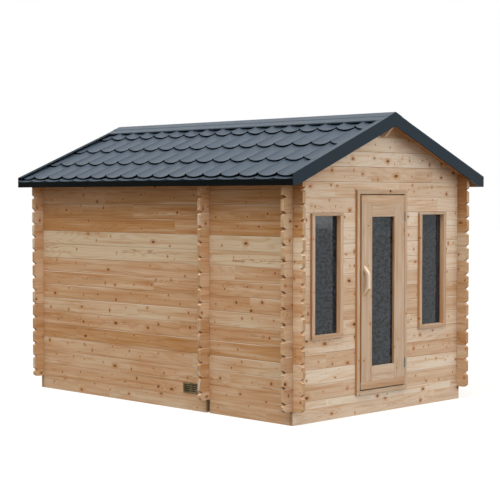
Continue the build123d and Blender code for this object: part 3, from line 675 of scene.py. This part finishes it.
FINISHES = (
    (log_side, ("left_wall", "right_wall")),
    (log_front, ("front_wall_left", "front_wall_right", "front_sill_log", "front_gable")),
    (log_cross, ("rear_wall", "partition_left", "partition_right", "partition_sill_log",
                 "partition_gable")),
    (base_across, ("base_front_board", "base_rear_board", "floor_joists")),
    (base_along, ("base_side_boards",)),
    (floor_board_wood, ("changing_room_floor", "sauna_room_floor")),
    (roof_board_wood, ("roof_boards_left", "roof_boards_right")),
    (beam_wood, ("ridge_beam", "eave_boards")),
    (barge_wood, ("front_barge_boards", "rear_barge_boards")),
    (upright_board, ("partition_doorway_posts", "door_frame_posts", "door_stops", "window_frame_sides")),
    (cross_board, ("door_frame_head_and_sill", "window_heads_and_sills")),
    (door_upright, ("door_stiles",)),
    (outer_rail, ("door_outer_rails",)),
    (inner_rail, ("door_inner_rails",)),
    (handle_wood, ("door_handle",)),
    (roof_paint, ("tile_sheet_left", "tile_sheet_right")),
    (cap_paint, ("ridge_cap",)),
    (shaded_fascia_paint, ("eave_fascias",)),
    (trim_paint, ("front_barge_flashings",)),
    (rear_trim_paint, ("rear_barge_flashings",)),
    (pane_glass, ("window_panes", "door_glass")),
    (hinge_metal, ("door_hinges", "frame_hinges")),
    (vent_paint, ("low_air_vent",)),
)
ROUNDED = (
    "partition_doorway_posts", "base_front_board", "base_rear_board", "base_side_boards", "ridge_beam",
    "door_frame_posts", "door_frame_head_and_sill", "window_frame_sides", "window_heads_and_sills",
    "door_stiles", "door_outer_rails", "door_inner_rails", "door_stops",
)


def round_edges(thing, width):
    """Rounds sharp edges a little."""
    weld = thing.modifiers.new("weld", "WELD")
    weld.merge_threshold = WELD_DISTANCE
    bevel = thing.modifiers.new("rounding", "BEVEL")
    bevel.width = width
    bevel.segments = 2
    bevel.limit_method = "ANGLE"
    bevel.angle_limit = math.radians(ROUNDED_ANGLE)


for material, node_names in FINISHES:
    for node_name in node_names:
        mesh = nodes[node_name].data
        mesh.materials.clear()
        mesh.materials.append(material)
for node_name in ROUNDED:
    round_edges(nodes[node_name], JOINERY_ROUNDING if node_name.startswith("door") else EDGE_ROUNDING)


# Pieces that stand for CAD nodes

def add_piece(name, points, faces, material, stands_for, smooth_angle=None):
    """A new piece on the cabin, in place of a CAD node."""
    mesh = bpy.data.meshes.new(name)
    mesh.from_pydata(points, [], faces)
    mesh.materials.append(material)
    if smooth_angle is not None:
        mesh.shade_smooth()
        mesh.set_sharp_from_angle(angle=math.radians(smooth_angle))
    piece = bpy.data.objects.new(name, mesh)
    bpy.context.scene.collection.objects.link(piece)
    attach(piece, "cabin")
    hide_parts(stands_for)
    return piece


def on_slope(side, up_slope, y, above_deck):
    """A point of a roof slope; side is -1 for the left and 1 for the right."""
    x = roof_tip - up_slope * math.cos(ROOF_SLOPE) + above_deck * math.sin(ROOF_SLOPE)
    z = (roof_ridge - roof_tip * math.tan(ROOF_SLOPE) + up_slope * math.sin(ROOF_SLOPE)
         + above_deck * math.cos(ROOF_SLOPE))
    return (side * x, y, z)


def wave_height(y):
    """Height of the sheet's waves: shallow pans between narrow crests."""
    from_crest = abs((y - sheet_front + wave_pitch / 2) % wave_pitch - wave_pitch / 2)
    if from_crest < CREST_HALF_WIDTH:
        rise = 0.5 + 0.5 * math.cos(math.pi * from_crest / CREST_HALF_WIDTH)
        return SHOULDER_HEIGHT + (CREST_HEIGHT - SHOULDER_HEIGHT) * rise
    half_pan = wave_pitch / 2 - CREST_HALF_WIDTH
    return SHOULDER_HEIGHT * ((wave_pitch / 2 - from_crest) / half_pan) ** 2


def wave_columns(first_wave, last_wave, lap):
    """Distances along the roof at which a panel is drawn."""
    crest_steps = (-1.0, -0.7, -0.38, 0.0, 0.38, 0.7, 1.0)
    pan_steps = 13
    pan = wave_pitch - 2 * CREST_HALF_WIDTH
    places = []
    for wave in range(first_wave, last_wave + 1):
        crest = sheet_front + wave * wave_pitch
        shoulder = crest + CREST_HALF_WIDTH
        places += [crest + step * CREST_HALF_WIDTH for step in crest_steps]
        places += [shoulder + pan * step / pan_steps for step in range(1, pan_steps)]
    low = max(sheet_front + first_wave * wave_pitch - lap, sheet_front)
    high = min(sheet_front + last_wave * wave_pitch + lap, sheet_rear)
    return [low] + [place for place in places if low < place < high] + [high]


def row_profile(length):
    """The section of a row of tiles, along the slope and up: an undercut nose, then the long face."""
    nose = ((0.0140, -0.0165), (0.0060, -0.0155), (0.0018, -0.0110), (0.0, -0.0032), (0.0008, -0.0006),
            (0.0030, 0.0), (0.0120, 0.0), (0.05, 0.0))
    return nose + ((length * 0.5, 0.0), (length, 0.0))


def apron_profile(length):
    """The section of the sheet below its first step: a small lip, then a short face."""
    lip = ((0.0040, -0.0030), (0.0, -0.0024), (0.0, -0.0008), (0.0012, 0.0))
    return lip + ((length * 0.5, 0.0), (length, 0.0))


def panel_points(side, apron, start, profile, columns, lift):
    """Points of one panel of tiles: its upper face, then its lower face."""
    step = 0.0 if apron else TILE_STEP
    points = []
    for layer in (0, 1):
        for number, (run, rise) in enumerate(profile):
            before = profile[max(number - 1, 0)]
            after = profile[min(number + 1, len(profile) - 1)]
            tangent = Vector((after[0] - before[0], after[1] - before[1])).normalized()
            inner_run = run + tangent[1] * TILE_METAL * layer
            inner_rise = rise - tangent[0] * TILE_METAL * layer
            seat = TILE_SEAT + step * (1.0 - run / TILE_ROW_PITCH) + lift
            for y in columns:
                wave = wave_height(y)
                if apron:
                    wave *= APRON_WAVE_SHARE
                    behind = wave * math.tan(ROOF_SLOPE)
                else:
                    behind = CREST_CUT_BACK * wave / CREST_HEIGHT * max(0.0, 1.0 - run / CUT_BACK_LENGTH)
                points.append(on_slope(side, start + inner_run + behind, y, seat + inner_rise + wave))
    return points


def panel_faces(side, first, lines, across):
    """Faces of one panel of tiles, both sides and the rim; first is the number of its first point."""
    back = first + lines * across
    faces = []
    for line in range(lines - 1):
        for column in range(across - 1):
            corner = line * across + column
            quad = (corner, corner + 1, corner + across + 1, corner + across)
            if side < 0:
                quad = quad[::-1]
            faces.append(tuple(first + c for c in quad))
            faces.append(tuple(back + c for c in quad[::-1]))
    rim = (list(range(across))
           + [line * across + across - 1 for line in range(1, lines)]
           + [(lines - 1) * across + column for column in range(across - 2, -1, -1)]
           + [line * across for line in range(lines - 2, 0, -1)])
    for a, b in zip(rim, rim[1:] + rim[:1]):
        quad = (first + a, back + a, back + b, first + b)
        faces.append(quad if side > 0 else quad[::-1])
    return faces


def tile_slope(name, side, stands_for):
    """The stepped tiles of one slope, in rows of overlapping panels above a short apron."""
    slope_length = (roof_tip + TRIM_THICKNESS) / math.cos(ROOF_SLOPE)
    first_step = TILE_SETBACK - TRIM_THICKNESS / math.cos(ROOF_SLOPE)
    points, faces = [], []
    row = -1
    while first_step + row * TILE_ROW_PITCH < slope_length:
        apron = row < 0
        if apron:
            start = 0.0
            profile = apron_profile(TILE_SETBACK + ROW_OVERLAP)
        else:
            start = first_step + row * TILE_ROW_PITCH
            profile = row_profile(min(TILE_ROW_PITCH + ROW_OVERLAP, slope_length - start))
        cuts = [0, *range(2 + 2 * (row % 2), WAVE_COUNT, PANEL_WAVES), WAVE_COUNT]
        for number, (first_wave, last_wave) in enumerate(zip(cuts, cuts[1:])):
            lifted = number % 2
            columns = wave_columns(first_wave, last_wave, PANEL_LAP * lifted)
            faces += panel_faces(side, len(points), len(profile), len(columns))
            points += panel_points(side, apron, start, profile, columns, LAP_LIFT * lifted)
        row += 1
    add_piece(name, points, faces, roof_paint, stands_for, TILE_SMOOTH_ANGLE)


# Faces of a board by the numbers of its eight corners, and the corners' order on the right slope
BOARD_FACES = ((0, 2, 3, 1), (4, 5, 7, 6), (0, 1, 5, 4), (2, 6, 7, 3), (0, 4, 6, 2), (1, 3, 7, 5))
RIGHT_SLOPE_ORDER = (1, 0, 3, 2, 5, 4, 7, 6)


def board_piece(name, boards, material, stands_for):
    """Boards side by side, each given by its eight corners, with rounded edges."""
    points, faces = [], []
    for corners in boards:
        first = len(points)
        points += corners
        faces += [tuple(first + c for c in quad) for quad in BOARD_FACES]
    piece = add_piece(name, points, faces, material, stands_for)
    round_edges(piece, EDGE_ROUNDING)


def roof_deck(name, side, stands_for):
    """Boards under the tiles, along the ridge."""
    width = roof_board_pitch / math.cos(ROOF_SLOPE)
    lower_ridge = (roof_tip - ROOF_BOARD * math.sin(ROOF_SLOPE) - ROOF_BOARD_GAP) / math.cos(ROOF_SLOPE)
    boards = []
    place = 0.0
    while place < lower_ridge:
        low, high = place + ROOF_BOARD_GAP / 2, min(place + width - ROOF_BOARD_GAP / 2, lower_ridge)
        corners = [on_slope(side, run, y, rise) for rise in (-ROOF_BOARD, 0.0)
                   for y in (deck_low[Y], deck_high[Y]) for run in (low, high)]
        boards.append(corners if side < 0 else [corners[c] for c in RIGHT_SLOPE_ORDER])
        place += width
    board_piece(name, boards, roof_board_wood, stands_for)


def floor_deck(name, stands_for):
    """Floor boards from side to side, with their seams where the wood's pattern changes."""
    low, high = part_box(stands_for)
    first = math.ceil((low[Y] - GRID_START) / FLOOR_BOARD)
    last = math.floor((high[Y] - GRID_START) / FLOOR_BOARD)
    seams = [number * FLOOR_BOARD + GRID_START for number in range(first, last + 1)]
    inner = [seam for seam in seams if low[Y] + THINNEST_STRIP < seam < high[Y] - THINNEST_STRIP]
    edges = [low[Y], *inner, high[Y]]
    boards = []
    for near, far in zip(edges, edges[1:]):
        sides = (near + FLOOR_BOARD_GAP / 2, far - FLOOR_BOARD_GAP / 2)
        boards.append([(x, y, z) for z in (low[Z], high[Z]) for y in sides for x in (low[X], high[X])])
    board_piece(name, boards, floor_board_wood, stands_for)


tile_slope("roof_tiles_left", -1, "tile_sheet_left")
tile_slope("roof_tiles_right", 1, "tile_sheet_right")
roof_deck("roof_deck_left", -1, "roof_boards_left")
roof_deck("roof_deck_right", 1, "roof_boards_right")
floor_deck("changing_room_boards", "changing_room_floor")
floor_deck("sauna_room_boards", "sauna_room_floor")


# Stage, light and camera
FLOOR_REACH = 60.0
FLOOR_COLOUR = (0.22, 0.195, 0.165, 1.0)
FLOOR_GLOW = 0.80
SKY_COLOUR = (1.0, 0.985, 0.96, 1.0)
SKY_FULL_HEIGHT = 0.9
SKY_AT_HORIZON = 0.18
WHITE = (1.0, 1.0, 1.0, 1.0)


def seen_rays(tree):
    """1 for the rays that show the background: straight, mirrored or through glass."""
    path = tree.nodes.new("ShaderNodeLightPath")
    total = path.outputs["Is Camera Ray"]
    for name in ("Is Glossy Ray", "Is Transmission Ray"):
        either = tree.nodes.new("ShaderNodeMath")
        either.operation = "MAXIMUM"
        tree.links.new(total, either.inputs[0])
        tree.links.new(path.outputs[name], either.inputs[1])
        total = either.outputs[0]
    return total


def studio_floor():
    """A floor that glows white where it is seen."""
    mesh = bpy.data.meshes.new("studio_floor")
    corners = [(x * FLOOR_REACH, y * FLOOR_REACH, 0) for x, y in ((-1, -1), (1, -1), (1, 1), (-1, 1))]
    mesh.from_pydata(corners, [], [(0, 1, 2, 3)])
    floor = bpy.data.objects.new("studio_floor", mesh)
    bpy.context.scene.collection.objects.link(floor)
    s = Shader("studio_floor_paint")
    s.set(Base_Color=FLOOR_COLOUR, Roughness=0.9, Specular_IOR_Level=0.0)
    glow = s.new("Emission")
    glow.inputs[0].default_value = WHITE
    s.link(s.times(seen_rays(s.tree), FLOOR_GLOW), glow.inputs[1])
    both = s.new("AddShader")
    s.link(s.surface.outputs[0], both.inputs[0])
    s.link(glow.outputs[0], both.inputs[1])
    s.link(both.outputs[0], s.output.inputs[0])
    mesh.materials.append(s.material)


def surround():
    """A white surround that lights the cabin more from overhead."""
    world = bpy.data.worlds.new("studio")
    bpy.context.scene.world = world
    world.use_nodes = True
    tree = world.node_tree
    tree.nodes.clear()
    output = tree.nodes.new("ShaderNodeOutputWorld")
    direction = tree.nodes.new("ShaderNodeTexCoord")
    upward = tree.nodes.new("ShaderNodeSeparateXYZ")
    tree.links.new(direction.outputs["Generated"], upward.inputs[0])
    level = tree.nodes.new("ShaderNodeMapRange")
    for socket, number in zip(level.inputs[1:5], (0.0, SKY_FULL_HEIGHT, SKY_AT_HORIZON, 1.0)):
        socket.default_value = number
    tree.links.new(upward.outputs[2], level.inputs[0])
    light = tree.nodes.new("ShaderNodeBackground")
    light.inputs[0].default_value = SKY_COLOUR
    tree.links.new(level.outputs[0], light.inputs[1])
    seen = tree.nodes.new("ShaderNodeBackground")
    seen.inputs[0].default_value = WHITE
    seen.inputs[1].default_value = 1.0
    mix = tree.nodes.new("ShaderNodeMixShader")
    tree.links.new(seen_rays(tree), mix.inputs[0])
    tree.links.new(light.outputs[0], mix.inputs[1])
    tree.links.new(seen.outputs[0], mix.inputs[2])
    tree.links.new(mix.outputs[0], output.inputs[0])


def sun(name, strength, spread, direction):
    """A soft lamp far away, with its spread in degrees, shining along a direction."""
    lamp = bpy.data.lights.new(name, "SUN")
    lamp.energy = strength
    lamp.angle = math.radians(spread)
    holder = bpy.data.objects.new(name, lamp)
    holder.rotation_euler = Vector(direction).to_track_quat("-Z", "Y").to_euler()
    bpy.context.scene.collection.objects.link(holder)


def camera():
    """The photograph's view."""
    data = bpy.data.cameras.new("camera")
    data.lens = CAMERA_LENS
    data.sensor_width = SENSOR
    data.clip_end = CAMERA_REACH
    holder = bpy.data.objects.new("camera", data)
    holder.location = CAMERA_PLACE
    holder.rotation_euler = (math.radians(CAMERA_TILT), 0.0, math.radians(CAMERA_TURN))
    bpy.context.scene.collection.objects.link(holder)
    bpy.context.scene.camera = holder


studio_floor()
surround()
for lamp in LAMPS:
    sun(*lamp)
camera()
bpy.context.scene.view_settings.view_transform = "Standard"
